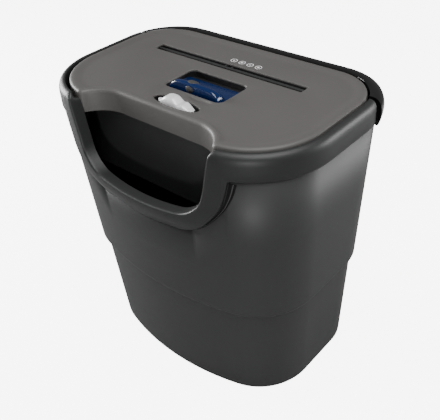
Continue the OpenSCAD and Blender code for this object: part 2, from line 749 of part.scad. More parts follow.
module terminal_block() {
    color("green") difference() {
        block(board_x0 + 14, board_x0 + 44, board_y1 - 14, board_y1 - 4, board_top, board_top + 11);
        for (k = [0:3])
            translate([board_x0 + 18.5 + k * 7, board_y1 - 9, board_top + 5]) cylinder(r = 2, h = 9);
    }
}
module thermal_cutout() {
    color("silver") difference() {
        translate([motor_x0 + 18, motor_y - 5, motor_z + motor_r - 0.6]) cube([24, 10, 5]);
        motor_rod(motor_x0, motor_x1, motor_r);
    }
}
module switch_body() {
    z1 = dish_z - 10;
    color("black") difference() {
        block(switch_x - 20, switch_x + 20, switch_y - 9, switch_y + 9, z1 - 17, z1);
        block(switch_x - 5 - switch_travel, switch_x + 5 + switch_travel, switch_y - 3.5,
            switch_y + 3.5, z1 - 9, z1 + 1);
    }
}
plunger_x = -(cover_hw - cover_t - 3.6);
plunger_y = 8;
plunger_r = 2.4;
module interlock_switch() {
    color("black") difference() {
        block(plunger_x - 3.4, plunger_x + 3.4, plunger_y - 10, plunger_y + 10, top_z - 18, deck_z);
        translate([plunger_x, plunger_y, top_z - 19]) cylinder(r = plunger_r + run_clear, h = 11);
    }
}
module interlock_plunger() {
    color("white") translate([plunger_x, plunger_y, seat_z]) cylinder(r = plunger_r, h = skirt_h - 9);
}
cord_r = 3.6;
module cord_gland() {
    color("black") translate([notch_x, 0, gland_z]) rotate([-90, 0, 0]) difference() {
        union() {
            translate([0, 0, cover_back + 4.6]) cylinder(r = 7, h = back_y - cover_back - 5);
            translate([0, 0, back_y - 13]) cylinder(r = 9, h = 3);
        }
        cylinder(r = cord_r, h = overall_d);
    }
}
module cover_screws() {
    color("gray") for (sx = [-1, 1], y = [-20, 52]) translate([sx * boss_x, y, boss_split]) {
        translate([0, 0, -6]) cylinder(r = 1.5, h = 19);
        translate([0, 0, -8.5]) cylinder(r = 3, h = 2.5);
    }
}
module frame_screws() {
    color("gray") for (p = frame_screw_points) translate([p[0], p[1], floor_z]) {
        translate([0, 0, -1.5]) cylinder(r = 2, h = 4);
        translate([0, 0, 2]) cylinder(r = 3.6, h = 2);
    }
}

// --- Controls -----------------------------------------------------------
grip_hw = lock_w / 2 - 6;
module safety_lock() {
    z0 = dish_z - 8.8;
    w = lock_w - 2;
    d = lock_d - lock_travel - 1.6;
    y0 = lock_y - lock_d / 2 + 0.6;
    color("#1d3f8f") {
        translate([0, 0, z0]) linear_extrude(3.5) window_2d(control_x, y0 + d / 2, w, d, 7);
        along_x(control_x - grip_hw, control_x + grip_hw) translate([y0 + 13, z0 + 3])
            polygon([[-10.5, 0], [-10.5, 13], [-9, 15], [-4, 15.5], [0, 13], [5, 6], [7, 0]]);
        block(control_x - 5, control_x + 5, lock_y - 7, lock_y + 7, z0 - 7, z0 + 1);
    }
}
module power_switch() {
    z0 = dish_z - 7.8;
    w = switch_w - 2 * switch_travel - 1.6;
    color("white") {
        translate([0, 0, z0]) linear_extrude(7) window_2d(switch_x, switch_y, w, switch_d - 2, 7);
        along_y(switch_y - 6, switch_y + 6) translate([switch_x, z0 + 6])
            polygon([[-18, 0], [-13, 7], [-8, 9], [-2, 8.5], [2, 4], [6, 1.5], [12, 0]]);
        block(switch_x - 3, switch_x + 3, switch_y - 2, switch_y + 2, z0 - 9, z0 + 1);
    }
}

waste_bin();
bin_collar();
top_cover();
lower_housing();
rear_cap();
throat_guide();
left_frame();
right_frame();
tie_rods();
front_stripper();
rear_stripper();
shaft_bushes();
gear_plate();
plate_spacers();
gear_pins();
motor_case();
motor_end_cap();
field_magnets();
motor_bushes();
motor_screws();
control_board();
relay();
capacitor();
terminal_block();
thermal_cutout();
board_posts();
switch_body();
paper_switch();
flag_pin();
interlock_switch();
cord_gland();
cover_screws();
frame_screws();
rod_screws();
cutter_shaft_front();
drive_gear();
timing_gear_front();
cutter_shaft_rear();
timing_gear_rear();
first_gear();
second_gear();
armature();
motor_pinion();
cooling_fan();
power_switch();
safety_lock();
interlock_plunger();
paper_flag();
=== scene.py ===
import math

import bmesh
import bpy
from mathutils import Matrix, Vector


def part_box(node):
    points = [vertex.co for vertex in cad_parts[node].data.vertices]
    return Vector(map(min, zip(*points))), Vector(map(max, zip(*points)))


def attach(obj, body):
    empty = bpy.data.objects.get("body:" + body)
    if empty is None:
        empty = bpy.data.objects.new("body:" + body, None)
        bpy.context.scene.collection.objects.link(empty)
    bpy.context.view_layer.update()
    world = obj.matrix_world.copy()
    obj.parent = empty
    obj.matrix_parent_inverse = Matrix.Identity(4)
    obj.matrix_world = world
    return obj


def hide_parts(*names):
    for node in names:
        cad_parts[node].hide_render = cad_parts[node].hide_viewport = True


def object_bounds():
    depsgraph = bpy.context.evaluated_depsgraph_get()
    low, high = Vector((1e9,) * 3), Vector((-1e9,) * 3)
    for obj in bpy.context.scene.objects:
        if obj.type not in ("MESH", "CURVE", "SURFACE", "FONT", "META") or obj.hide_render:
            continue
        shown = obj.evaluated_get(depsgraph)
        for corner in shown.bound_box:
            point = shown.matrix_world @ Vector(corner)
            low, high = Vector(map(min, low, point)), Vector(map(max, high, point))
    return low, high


bl_info = {
    "name": "Paper shredder finish",
    "version": (1, 0, 0),
    "blender": (4, 5, 0),
    "location": "View3D > Sidebar > Shredder",
    "description": "Builds the moulded shells, controls and finishes of a paper shredder round its frame",
    "category": "Object",
}

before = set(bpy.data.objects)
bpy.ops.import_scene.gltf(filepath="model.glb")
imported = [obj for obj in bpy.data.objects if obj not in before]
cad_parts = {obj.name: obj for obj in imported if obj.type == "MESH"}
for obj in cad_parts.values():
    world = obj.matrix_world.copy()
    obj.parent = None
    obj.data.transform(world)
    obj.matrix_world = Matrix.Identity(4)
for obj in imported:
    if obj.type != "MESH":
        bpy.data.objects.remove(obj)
CAD_BOX = [list(corner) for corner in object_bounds()]
HIGH = Vector(CAD_BOX[1])
COVER_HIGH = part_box("top_cover")[1]
BIN_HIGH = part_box("waste_bin")[1]
CAP_LOW, CAP_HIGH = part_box("rear_cap")
LOCK_LOW, LOCK_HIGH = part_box("safety_lock")
KNOB_LOW, KNOB_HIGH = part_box("power_switch")
THROAT_LOW, THROAT_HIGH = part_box("throat_guide")
GLAND_LOW, GLAND_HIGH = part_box("cord_gland")

TOP = COVER_HIGH.z
SKIRT_LOW = TOP - 0.026
COVER_HW = COVER_HIGH.x
COVER_BACK = COVER_HIGH.y
FRONT = -HIGH.y
COVER_FRONT = FRONT + 0.014
COVER_SAG = 0.034
COVER_BACK_R = 0.058
COVER_FRONT_R = 0.081
CAP_STEP = 0.016
RIM_Z = BIN_HIGH.z
RIM_HW = COVER_HW + 0.007
RIM_BACK = HIGH.y - 0.008
BASE_HW = 0.153
BASE_BACK = RIM_BACK - 0.0065
BASE_FRONT = BASE_BACK - 0.213
BASE_R = 0.062
BIN_SAG = 0.036
CONTROL_X = (LOCK_LOW.x + LOCK_HIGH.x) / 2
SLOT_X = (THROAT_LOW.x + THROAT_HIGH.x) / 2


# ---------------------------------------------------------------- sizes and colours
class ShredderSizes(bpy.types.PropertyGroup):
    """Sizes of the moulded shells that a maker would change."""

    ledge_z: bpy.props.FloatProperty(
        name="Ledge height", description="Height of the step in the bin wall", default=0.140, unit="LENGTH")
    ledge_h: bpy.props.FloatProperty(
        name="Ledge rise", description="Height over which the wall steps out", default=0.009, unit="LENGTH")
    ledge_step: bpy.props.FloatProperty(
        name="Ledge depth", description="How far the wall steps out", default=0.0046, unit="LENGTH")
    bin_wall: bpy.props.FloatProperty(
        name="Bin wall", description="Wall thickness of the bin", default=0.0025, unit="LENGTH")
    collar_h: bpy.props.FloatProperty(
        name="Collar height", description="Height of the collar round the rim", default=0.030, unit="LENGTH")
    collar_out: bpy.props.FloatProperty(
        name="Collar reach", description="From the cover's edge to the collar's face", default=0.012, unit="LENGTH")
    mouth_hw: bpy.props.FloatProperty(
        name="Mouth half width", description="Half width of the front opening", default=0.103, unit="LENGTH")
    mouth_drop: bpy.props.FloatProperty(
        name="Mouth depth", description="From the top to the lip", default=0.090, unit="LENGTH")
    mouth_r: bpy.props.FloatProperty(
        name="Mouth radius", description="Lower corners of the opening", default=0.034, unit="LENGTH")
    mouth_lean: bpy.props.FloatProperty(
        name="Mouth lean", description="How far an upright leans in down to the lip", default=0.019, unit="LENGTH")
    hoop_w: bpy.props.FloatProperty(
        name="Hoop width", description="Width of the band round the opening", default=0.026, unit="LENGTH")
    hoop_proud: bpy.props.FloatProperty(
        name="Hoop reach", description="How far the hoop stands off the wall", default=0.008, unit="LENGTH")
    scallop_r: bpy.props.FloatProperty(
        name="Scallop radius", description="Corner radius of the cover's front scallop", default=0.045,
        unit="LENGTH")
    scallop_d: bpy.props.FloatProperty(
        name="Scallop depth", description="From the cover's front line to the scallop", default=0.036,
        unit="LENGTH")
    dish: bpy.props.FloatProperty(
        name="Dish depth", description="How far the deck lies under the rim", default=0.0015, unit="LENGTH")
    lock_w: bpy.props.FloatProperty(
        name="Lock window width", description="Length of the lock's window", default=0.084, unit="LENGTH")
    lock_d: bpy.props.FloatProperty(
        name="Lock window depth", description="Front to back size of the lock's window", default=0.049,
        unit="LENGTH")
    switch_w: bpy.props.FloatProperty(
        name="Switch window width", description="Length of the switch's window", default=0.064, unit="LENGTH")
    switch_d: bpy.props.FloatProperty(
        name="Switch window depth", description="Front to back size of the window", default=0.019,
        unit="LENGTH")
    slot_w: bpy.props.FloatProperty(
        name="Paper slot width", description="Front to back size of the paper slot", default=0.014,
        unit="LENGTH")


class ShredderColours(bpy.types.PropertyGroup):
    """Colours of the moulded shells."""

    bin: bpy.props.FloatVectorProperty(
        name="Bin", description="Moulded bin", default=(0.026, 0.0265, 0.0265), subtype="COLOR")
    collar: bpy.props.FloatVectorProperty(
        name="Collar", description="Collar and hoop", default=(0.017, 0.0178, 0.0175), subtype="COLOR")
    cover: bpy.props.FloatVectorProperty(
        name="Cover", description="Warm grey top cover", default=(0.078, 0.074, 0.071), subtype="COLOR")
    lock: bpy.props.FloatVectorProperty(
        name="Lock", description="Clear blue lock slide", default=(0.001, 0.016, 0.085), subtype="COLOR")
    knob: bpy.props.FloatVectorProperty(
        name="Knob", description="Silver white switch knob", default=(0.72, 0.72, 0.73), subtype="COLOR")


def sizes():
    return bpy.context.scene.shredder_sizes


def colours():
    return bpy.context.scene.shredder_colours


# ---------------------------------------------------------------- curves
def mix(a, b, t):
    return a + (b - a) * t


def smooth(t):
    t = min(1.0, max(0.0, t))
    return t * t * (3 - 2 * t)


def arc(cx, cy, r, a0, a1, n):
    return [(cx + r * math.cos(mix(a0, a1, i / n)), cy + r * math.sin(mix(a0, a1, i / n))) for i in range(n + 1)]


def line(p, q, n):
    return [(mix(p[0], q[0], i / n), mix(p[1], q[1], i / n)) for i in range(n + 1)]


def chain(*runs):
    """Joins runs of points that meet end to start."""
    joined = list(runs[0])
    for run in runs[1:]:
        joined += run[1:]
    return joined


def half_plan(hw, back, front, back_r, front_r, sag, counts=(40, 22, 8, 22, 8)):
    """Right half of a plan outline with a bowed front, from the middle of the front to the middle of the back."""
    big = (hw * hw + sag * sag) / (2 * sag)
    cy = front + big
    cx = hw - front_r
    corner_y = cy - math.sqrt((big - front_r) ** 2 - cx * cx)
    end = math.atan2(corner_y - cy, cx)
    return chain(
        arc(0, cy, big, -math.pi / 2, end, counts[0]),
        arc(cx, corner_y, front_r, end, 0, counts[1]),
        line((hw, corner_y), (hw, back - back_r), counts[2]),
        arc(hw - back_r, back - back_r, back_r, 0, math.pi / 2, counts[3]),
        line((hw - back_r, back), (0, back), counts[4]),
    )


def both_sides(half):
    """A closed ring out of a right half whose ends lie at X = 0."""
    return half + [(-x, y) for x, y in reversed(half[1:-1])]


def cover_half(o):
    return half_plan(COVER_HW + o, COVER_BACK + o, COVER_FRONT - o, COVER_BACK_R + o, COVER_FRONT_R + o, COVER_SAG)


def wall_step(z):
    s = sizes()
    return s.ledge_step * smooth((z - s.ledge_z) / s.ledge_h)


def bin_values(z, o):
    """Half width, back, front and corner offset of the bin's outer face at height z."""
    s = sizes()
    t = z / RIM_Z
    k = o + wall_step(z) - s.ledge_step * t
    lip = TOP - s.mouth_drop
    rim_front = BASE_FRONT + (FRONT + s.hoop_proud + s.ledge_step - BASE_FRONT) * RIM_Z / lip
    front = mix(BASE_FRONT, rim_front, t) - o - wall_step(z)
    return mix(BASE_HW, RIM_HW, t) + k, mix(BASE_BACK, RIM_BACK, t) + k, front, k


def bin_half(z, o=0.0):
    hw, back, front, k = bin_values(z, o)
    return half_plan(hw, back, front, BASE_R + k, BASE_R + 0.015 + k, BIN_SAG)


def rounded_path(corners, radii, counts):
    """Points along straight legs with a rounded turn at each inner corner."""
    points = [Vector(c) for c in corners]
    runs = []
    start = points[0]
    for i, r in enumerate(radii):
        before = (points[i] - points[i + 1]).normalized()
        after = (points[i + 2] - points[i + 1]).normalized()
        half = before.angle(after) / 2
        reach = r / math.tan(half)
        centre = points[i + 1] + (before + after).normalized() * (r / math.sin(half))
        a, b = points[i + 1] + before * reach, points[i + 1] + after * reach
        a0 = math.atan2(a.y - centre.y, a.x - centre.x)
        turn = math.atan2(b.y - centre.y, b.x - centre.x) - a0
        turn = (turn + math.pi) % (2 * math.pi) - math.pi
        runs.append(line(start, a, counts[2 * i]))
        runs.append(arc(centre.x, centre.y, r, a0, a0 + turn, counts[2 * i + 1]))
        start = b
    runs.append(line(start, points[-1], counts[-1]))
    return chain(*runs)


def rounded_window(cx, cy, w, d, r, n=8):
    x, y = w / 2 - r, d / 2 - r
    corners = [(x, y, 0), (-x, y, 90), (-x, -y, 180), (x, -y, 270)]
    points = []
    for px, py, a in corners:
        points += arc(cx + px, cy + py, r, math.radians(a), math.radians(a + 90), n)
    return points


# ---------------------------------------------------------------- mesh helpers
def ring_of(bm, points, closed=True):
    verts = [bm.verts.new(p) for p in points]
    edges = [bm.edges.new(pair) for pair in zip(verts, verts[1:])]
    if closed:
        edges.append(bm.edges.new((verts[-1], verts[0])))
    return verts, edges


def pull(bm, verts, edges, points):
    """Extrudes a ring of edges and brings the new ring to its points."""
    made = bmesh.ops.extrude_edge_only(bm, edges=edges)["geom"]
    fresh = {g for g in made if isinstance(g, bmesh.types.BMVert)}
    moved = [next(e.other_vert(v) for e in v.link_edges if e.other_vert(v) in fresh) for v in verts]
    for v, p in zip(moved, points):
        v.co = p
    between = [e for e in made if isinstance(e, bmesh.types.BMEdge) and all(v in fresh for v in e.verts)]
    return moved, between


def loft(bm, rings, closed=True):
    """Pulls one ring through all the others; returns the first and last ring."""
    first = ring_of(bm, rings[0], closed)
    last = first
    for points in rings[1:]:
        last = pull(bm, *last, points)
    return first, last


def fill(bm, *rings):
    edges = [e for ring in rings for e in ring[1]]
    bmesh.ops.triangle_fill(bm, use_beauty=True, use_dissolve=False, edges=edges)


def at(points, z):
    return [(x, y, z) for x, y in points]


def finish_piece(name, bm, look, body, sharp=40):
    """Makes an object out of a bmesh, with its finish and its body."""
    bmesh.ops.remove_doubles(bm, verts=bm.verts[:], dist=1e-6)
    bmesh.ops.recalc_face_normals(bm, faces=bm.faces[:])
    mesh = bpy.data.meshes.new(name)
    bm.to_mesh(mesh)
    bm.free()
    mesh.polygons.foreach_set("use_smooth", [True] * len(mesh.polygons))
    mesh.set_sharp_from_angle(angle=math.radians(sharp))
    mesh.materials.append(look)
    piece = bpy.data.objects.new(name, mesh)
    bpy.context.scene.collection.objects.link(piece)
    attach(piece, body)
    return piece


def thicken(piece, thickness):
    wall = piece.modifiers.new("wall", "SOLIDIFY")
    wall.thickness = thickness
    wall.offset = -1
    wall.use_even_offset = True


def close_half(bm, first, last):
    """Caps the open end of a right half, brings its other end to X = 0 and adds the left half."""
    bmesh.ops.contextual_create(bm, geom=first[0] + first[1])
    for v in last[0]:
        v.co.x = 0
    bmesh.ops.mirror(bm, geom=bm.verts[:] + bm.edges[:] + bm.faces[:], axis="X", merge_dist=1e-5)


# ---------------------------------------------------------------- finishes
def finish(name, colour, roughness, grain=0.25, grain_scale=1400, drift=0.06, **sockets):
    """A moulded or metal finish with a fine grain, a slight drift of tone and uneven gloss."""
    look = bpy.data.materials.new(name)
    look.use_nodes = True
    nodes, links = look.node_tree.nodes, look.node_tree.links
    shader = nodes["Principled BSDF"]
    place = nodes.new("ShaderNodeTexCoord")
    cloud = nodes.new("ShaderNodeTexNoise")
    cloud.inputs["Scale"].default_value = 14
    cloud.inputs["Detail"].default_value = 3
    links.new(place.outputs["Object"], cloud.inputs["Vector"])
    tone = nodes.new("ShaderNodeMix")
    tone.data_type = "RGBA"
    tone.inputs["A"].default_value = [c * (1 - drift) for c in colour] + [1]
    tone.inputs["B"].default_value = [min(1, c * (1 + drift)) for c in colour] + [1]
    links.new(cloud.outputs["Fac"], tone.inputs["Factor"])
    links.new(tone.outputs["Result"], shader.inputs["Base Color"])
    pores = nodes.new("ShaderNodeTexNoise")
    pores.inputs["Scale"].default_value = grain_scale
    pores.inputs["Detail"].default_value = 2
    links.new(place.outputs["Object"], pores.inputs["Vector"])
    gloss = nodes.new("ShaderNodeMapRange")
    gloss.inputs["To Min"].default_value = roughness - 0.04
    gloss.inputs["To Max"].default_value = roughness + 0.05
    links.new(cloud.outputs["Fac"], gloss.inputs["Value"])
    links.new(gloss.outputs["Result"], shader.inputs["Roughness"])
    bump = nodes.new("ShaderNodeBump")
    bump.inputs["Strength"].default_value = grain
    bump.inputs["Distance"].default_value = 0.00012
    links.new(pores.outputs["Fac"], bump.inputs["Height"])
    links.new(bump.outputs["Normal"], shader.inputs["Normal"])
    for socket, value in sockets.items():
        shader.inputs[socket.replace("_", " ")].default_value = value
    return look


def brushed(name, colour, roughness, stretch, **sockets):
    """Metal with fine lines along one direction."""
    look = finish(name, colour, roughness, grain=0.35, grain_scale=900, Metallic=1.0, **sockets)
    nodes, links = look.node_tree.nodes, look.node_tree.links
    lines = nodes.new("ShaderNodeMapping")
    lines.inputs["Scale"].default_value = stretch
    links.new(nodes["Texture Coordinate"].outputs["Object"], lines.inputs["Vector"])
    links.new(lines.outputs["Vector"], nodes["Noise Texture.001"].inputs["Vector"])
    return look


# ---------------------------------------------------------------- pieces
class SHREDDER_OT_bin(bpy.types.Operator):
    """Make the tapered waste bin with its stepped wall"""
    bl_idname = "shredder.bin"
    bl_label = "Waste bin"

    def execute(self, context):
        s = sizes()
        bm = bmesh.new()
        hidden = TOP - s.mouth_drop - s.hoop_w / 2
        crest = RIM_Z - 0.006

        def top_line(x, y):
            if y > 0:
                return crest
            rise = (abs(x) - s.mouth_hw + s.mouth_lean + 0.009) / 0.040
            return mix(hidden, crest, min(1.0, max(0.0, rise)))

        foot = [(0.0, -0.0062), (0.0004, -0.0038), (0.0016, -0.0018), (0.0040, -0.0003), (0.0065, 0.0)]
        heights = [s.ledge_z - 0.002] + [s.ledge_z + s.ledge_h * k / 6 for k in range(7)] + [s.ledge_z + 0.012]
        rings = [at(both_sides(bin_half(0.0065, o)), z) for z, o in foot]
        rings += [at(both_sides(bin_half(z)), z) for z in heights]
        lower = both_sides(bin_half(hidden))
        upper = both_sides(bin_half(crest))
        top = []
        for p, q in zip(lower, upper):
            z = top_line(*q)
            t = (z - hidden) / (crest - hidden)
            top.append((mix(p[0], q[0], t), mix(p[1], q[1], t), z))
        low = rings[-1]
        rings.append([tuple(mix(a, b, 0.5) for a, b in zip(p, q)) for p, q in zip(low, top)])
        rings.append(top)
        first, _ = loft(bm, rings)
        inner = pull(bm, *first, at(both_sides(bin_half(0.0065, -0.010)), 0.0))
        inner = pull(bm, *inner, at(both_sides(bin_half(0.0065, -0.013)), 0.0012))
        fill(bm, inner)
        piece = finish_piece("bin_shell", bm, LOOKS["bin"], "bin", sharp=60)
        thicken(piece, s.bin_wall)
        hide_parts("waste_bin")
        return {"FINISHED"}


def hoop_reach(z):
    """How far the hoop's face stands off the bin wall at height z."""
    s = sizes()
    lip = TOP - s.mouth_drop
    low = lip - s.hoop_w
    keys = [(low - 0.010, 0.0015), (low + 0.008, s.hoop_proud - 0.002), (lip - 0.004, s.hoop_proud - 0.0002),
            (TOP - s.collar_h + 0.004, 0.0034), (RIM_Z, 0.0022)]
    for (z0, d0), (z1, d1) in zip(keys, keys[1:]):
        if z <= z1:
            return mix(d0, d1, smooth((z - z0) / (z1 - z0)))
    return keys[-1][1]


def wall_at(x, z, out):
    """Point at x on the front of the bin's outer face at height z, out from the face."""
    half = bin_half(z, out)
    for p, q in zip(half, half[1:]):
        if q[0] >= x:
            break
    t = (x - p[0]) / (q[0] - p[0])
    return Vector((x, mix(p[1], q[1], t), z))


class CollarWall:
    """The face that the collar, the uprights and the hoop share, unrolled along its outline."""

    def __init__(self):
        self.points = cover_half(sizes().collar_out)
        self.lengths = [0.0]
        for p, q in zip(self.points, self.points[1:]):
            self.lengths.append(self.lengths[-1] + math.dist(p, q))
        hw = COVER_HW + sizes().collar_out
        self.bow = (hw * hw + COVER_SAG * COVER_SAG) / (2 * COVER_SAG)

    def run(self, x):
        """Length along the outline to the point at x on the bowed front."""
        return self.bow * math.asin(x / self.bow)

    def run_to_back(self, y):
        """Length along the outline to where the side reaches y."""
        for i, p in enumerate(self.points):
            if p[0] > COVER_HW and p[1] > y:
                q = self.points[i - 1]
                t = (y - q[1]) / (p[1] - q[1])
                return mix(self.lengths[i - 1], self.lengths[i], t)
        return self.lengths[-1]

    def place(self, u):
        for i in range(1, len(self.lengths)):
            if u <= self.lengths[i]:
                break
        t = (u - self.lengths[i - 1]) / (self.lengths[i] - self.lengths[i - 1])
        p, q = self.points[i - 1], self.points[i]
        before = self.points[max(i - 2, 0)]
        after = self.points[min(i + 1, len(self.points) - 1)]
        ahead = Vector((mix(q[0] - before[0], after[0] - p[0], t), mix(q[1] - before[1], after[1] - p[1], t)))
        if u < 1e-6:
            ahead = Vector((1, 0))
        ahead.normalize()
        return Vector((mix(p[0], q[0], t), mix(p[1], q[1], t))), Vector((ahead.y, -ahead.x))

    def at(self, u, z, d):
        """Point on the face at run u and height z, d outward."""
        s = sizes()
        spot, out = self.place(u)
        share = smooth((z - (TOP - s.mouth_drop + 0.012)) / (s.mouth_drop - 0.012 - s.collar_h))
        if share < 1 and spot.x < s.mouth_hw + 0.042:
            spot.y = mix(wall_at(spot.x, z, hoop_reach(z)).y, spot.y, share)
        return Vector((spot.x + out.x * d, spot.y + out.y * d, z))


def collar_profile(length):
    """Cross-section of the collar: (distance down the face, distance outward) in order."""
    mm = 0.001
    rows = [(15, -9), (8, -9), (1.6, -9), (0.7, -8.6), (0.5, -7.6), (0.9, -6.0), (1.8, -4.2), (3.3, -2.5),
            (5.4, -1.2), (8.2, -0.35), (12, 0), (19, 0), (26.6, 0), (28.4, -0.5), (29.5, -1.6), (30, -3.2),
            (30, -5.6), (18, -5.6), (14.5, -6.2), (15, -8.6)]
    scale = length / (30 * mm)
    return [(f * mm * scale, d * mm) for f, d in rows]


def hoop_profile(length, reach, blend):
    """Cross-section of an upright or the hoop, with its flange turned into the opening.

    blend brings the outer edge down to the wall, from 0 on an upright to 1 at the middle of the hoop.
    """
    mm = 0.001
    back = -reach - 0.4 * mm
    near = [(0, -14), (0, -9), (0, -5), (0, -3), (0.15, -1.9), (0.55, -0.95), (1.25, -0.3), (2.4, 0)]
    far = [(2.6, 0), (1.3, -0.2), (0.45, -0.75), (0, -1.7)]
    rows = [(f * mm, d * mm) for f, d in near]
    rows += [(length * k, 0) for k in (0.25, 0.4, 0.55, 0.7)]
    rows += [(length - f * mm, d * mm) for f, d in far]
    rows = [(f, d - blend * (reach - mm) * smooth((f / length - 0.35) / 0.65)) for f, d in rows]
    rows += [(length, back), (length * 0.6, back), (2.4 * mm, back - 4 * mm), (2.4 * mm, -14 * mm)]
    return rows


BAND_COUNTS = (70, 12, 20, 24, 26)
LIP_BOW_R = 0.42


def band_edges(wall):
    """Both edges of the collar, the upright and the hoop as points (run, height), from the side to the middle."""
    s = sizes()
    lip = TOP - s.mouth_drop
    end = wall.run_to_back(COVER_BACK - 0.040)
    foot = s.mouth_hw - s.mouth_lean
    inner = rounded_path([(end, TOP), (wall.run(s.mouth_hw + 0.001), TOP), (wall.run(foot + 0.001), lip), (0, lip)],
                         [0.010, s.mouth_r], BAND_COUNTS)
    low = lip - s.hoop_w
    outer = rounded_path([(end, TOP - s.collar_h), (wall.run(s.mouth_hw + 0.0195), TOP - s.collar_h),
                          (wall.run(foot + 0.0180), low), (0, low)],
                         [0.004, s.mouth_r + s.hoop_w + 0.004], BAND_COUNTS)

    def lifted(points):
        return [Vector((u, z + u * u / (2 * LIP_BOW_R) * (1 - smooth((z - lip + 0.010) / 0.060)))) for u, z in points]

    return lifted(inner), lifted(outer)


class SHREDDER_OT_collar(bpy.types.Operator):
    """Make the collar round the rim, which runs down into the uprights and the hoop"""
    bl_idname = "shredder.collar"
    bl_label = "Collar and hoop"

    def execute(self, context):
        wall = CollarWall()
        inner, outer = band_edges(wall)
        rings = []
        turn_start = BAND_COUNTS[0]
        turn_end = BAND_COUNTS[0] + BAND_COUNTS[1] + 2
        for i, (a, b) in enumerate(zip(inner, outer)):
            length = (b - a).length
            down = (b - a) / length
            share = smooth((i - turn_start) / (turn_end - turn_start))
            ring = []
            foot = hoop_reach(b.y)
            for c, h in zip(collar_profile(length), hoop_profile(length, foot, 1 - smooth((a.x - 0.045) / 0.045))):
                f, d = mix(c[0], h[0], share), mix(c[1], h[1], share)
                spot = a + down * f
                ring.append(wall.at(max(0.0, spot.x), spot.y, d))
            rings.append(ring)
        bm = bmesh.new()
        first, last = loft(bm, rings)
        close_half(bm, first, last)
        piece = finish_piece("rim_collar", bm, LOOKS["collar"], "bin", sharp=50)
        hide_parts("bin_collar")
        return {"FINISHED"}


class SHREDDER_OT_seams(bpy.types.Operator):
    """Make a black strip on the wall beside each upright as painted shadow in the slit, with a rib on it whose
    lighter grey is a painted highlight
    """
    bl_idname = "shredder.seams"
    bl_label = "Painted slit shadows beside the hoop"

    def execute(self, context):
        _, outer = band_edges(CollarWall())
        start = BAND_COUNTS[0] + BAND_COUNTS[1]
        path = [p for p in outer[start:] if p.x > 0.074]
        count = len(path) - 1
        # The black strip stands in for the shade in the slit beside the upright: painted shadow.
        for name, near, far, proud, look in (("seam", -0.002, 0.0050, 0.0004, "seam"),
                                             # The rib's lighter grey than the bin stands in for light catching its
                                             # edge: painted highlight on a real rib.
                                             ("rib", 0.0020, 0.0028, 0.0010, "rib")):
            rings = []
            for i, p in enumerate(path):
                before, after = path[max(i - 1, 0)], path[min(i + 1, count)]
                ahead = (after - before).normalized()
                side = Vector((-ahead.y, ahead.x))
                if side.x < 0:
                    side = -side
                slim = 1 - 0.72 * smooth(i / count)
                rings.append([wall_at(p.x + side.x * k * slim, p.y + side.y * k * slim, out)
                              for k, out in ((near, -0.001), (near, proud), (far, proud), (far, -0.001))])
            bm = bmesh.new()
            first, last = loft(bm, rings)
            for verts, edges in (first, last):
                bmesh.ops.contextual_create(bm, geom=verts + edges)
            half = bm.verts[:] + bm.edges[:] + bm.faces[:]
            twin = bmesh.ops.duplicate(bm, geom=half)["geom"]
            twin_verts = [g for g in twin if isinstance(g, bmesh.types.BMVert)]
            bmesh.ops.scale(bm, vec=(-1, 1, 1), verts=twin_verts)
            finish_piece("hoop_" + name, bm, LOOKS[look], "bin")
        return {"FINISHED"}


def cover_outline(o):
    """Edge of the cover set in by o: the front scallop, the two horns, the bowed front, sides and back."""
    s = sizes()
    scallop_y = COVER_FRONT + s.scallop_d
    hollow = Vector((s.mouth_hw - s.scallop_r, scallop_y - s.scallop_r))
    near = min(o, 0.0064 + 0.15 * (o - 0.0064))
    hollow_r = s.scallop_r + near
    hw = COVER_HW - o
    bow = (COVER_HW ** 2 + COVER_SAG ** 2) / (2 * COVER_SAG)
    cy = COVER_FRONT + bow
    bow -= o
    front_r = COVER_FRONT_R - o
    cx = hw - front_r
    corner_y = cy - math.sqrt((bow - front_r) ** 2 - cx * cx)
    end = math.atan2(corner_y - cy, cx)
    horn_r = 0.006 - 0.25 * o

    def horn_on(centre, radius):
        """Centre of the horn's small circle, which touches the hollow and the given circle from inside."""
        reach_a, reach_b = hollow_r + horn_r, radius - horn_r
        gap = centre - hollow
        along = (reach_a ** 2 - reach_b ** 2 + gap.length_squared) / (2 * gap.length)
        unit = gap.normalized()
        spot = hollow + unit * along + Vector((unit.y, -unit.x)) * math.sqrt(reach_a ** 2 - along ** 2)
        return spot, math.atan2(spot.y - centre.y, spot.x - centre.x)

    horn, touch = horn_on(Vector((0, cy)), bow)
    front = [arc(0, cy, bow, touch, end, 14), arc(cx, corner_y, front_r, end, 0, 24)]
    if touch > end:
        horn, touch = horn_on(Vector((cx, corner_y)), front_r)
        front = [arc(cx, corner_y, front_r, touch, 0, 38)]
    a0 = math.atan2(hollow.y - horn.y, hollow.x - horn.x)
    turn = (touch - a0) % (2 * math.pi)
    back, back_r = COVER_BACK - o, COVER_BACK_R - o
    half = chain(
        line((0, scallop_y + near), (hollow.x, scallop_y + near), 14),
        arc(hollow.x, hollow.y, hollow_r, math.pi / 2, a0 + math.pi - (2 * math.pi if a0 > 0 else 0), 18),
        arc(horn.x, horn.y, horn_r, a0, a0 + turn, 14),
        *front,
        line((hw, corner_y), (hw, back - back_r), 8),
        arc(hw - back_r, back - back_r, back_r, 0, math.pi / 2, 24),
        line((hw - back_r, back), (0, back), 8),
    )
    return both_sides(half)


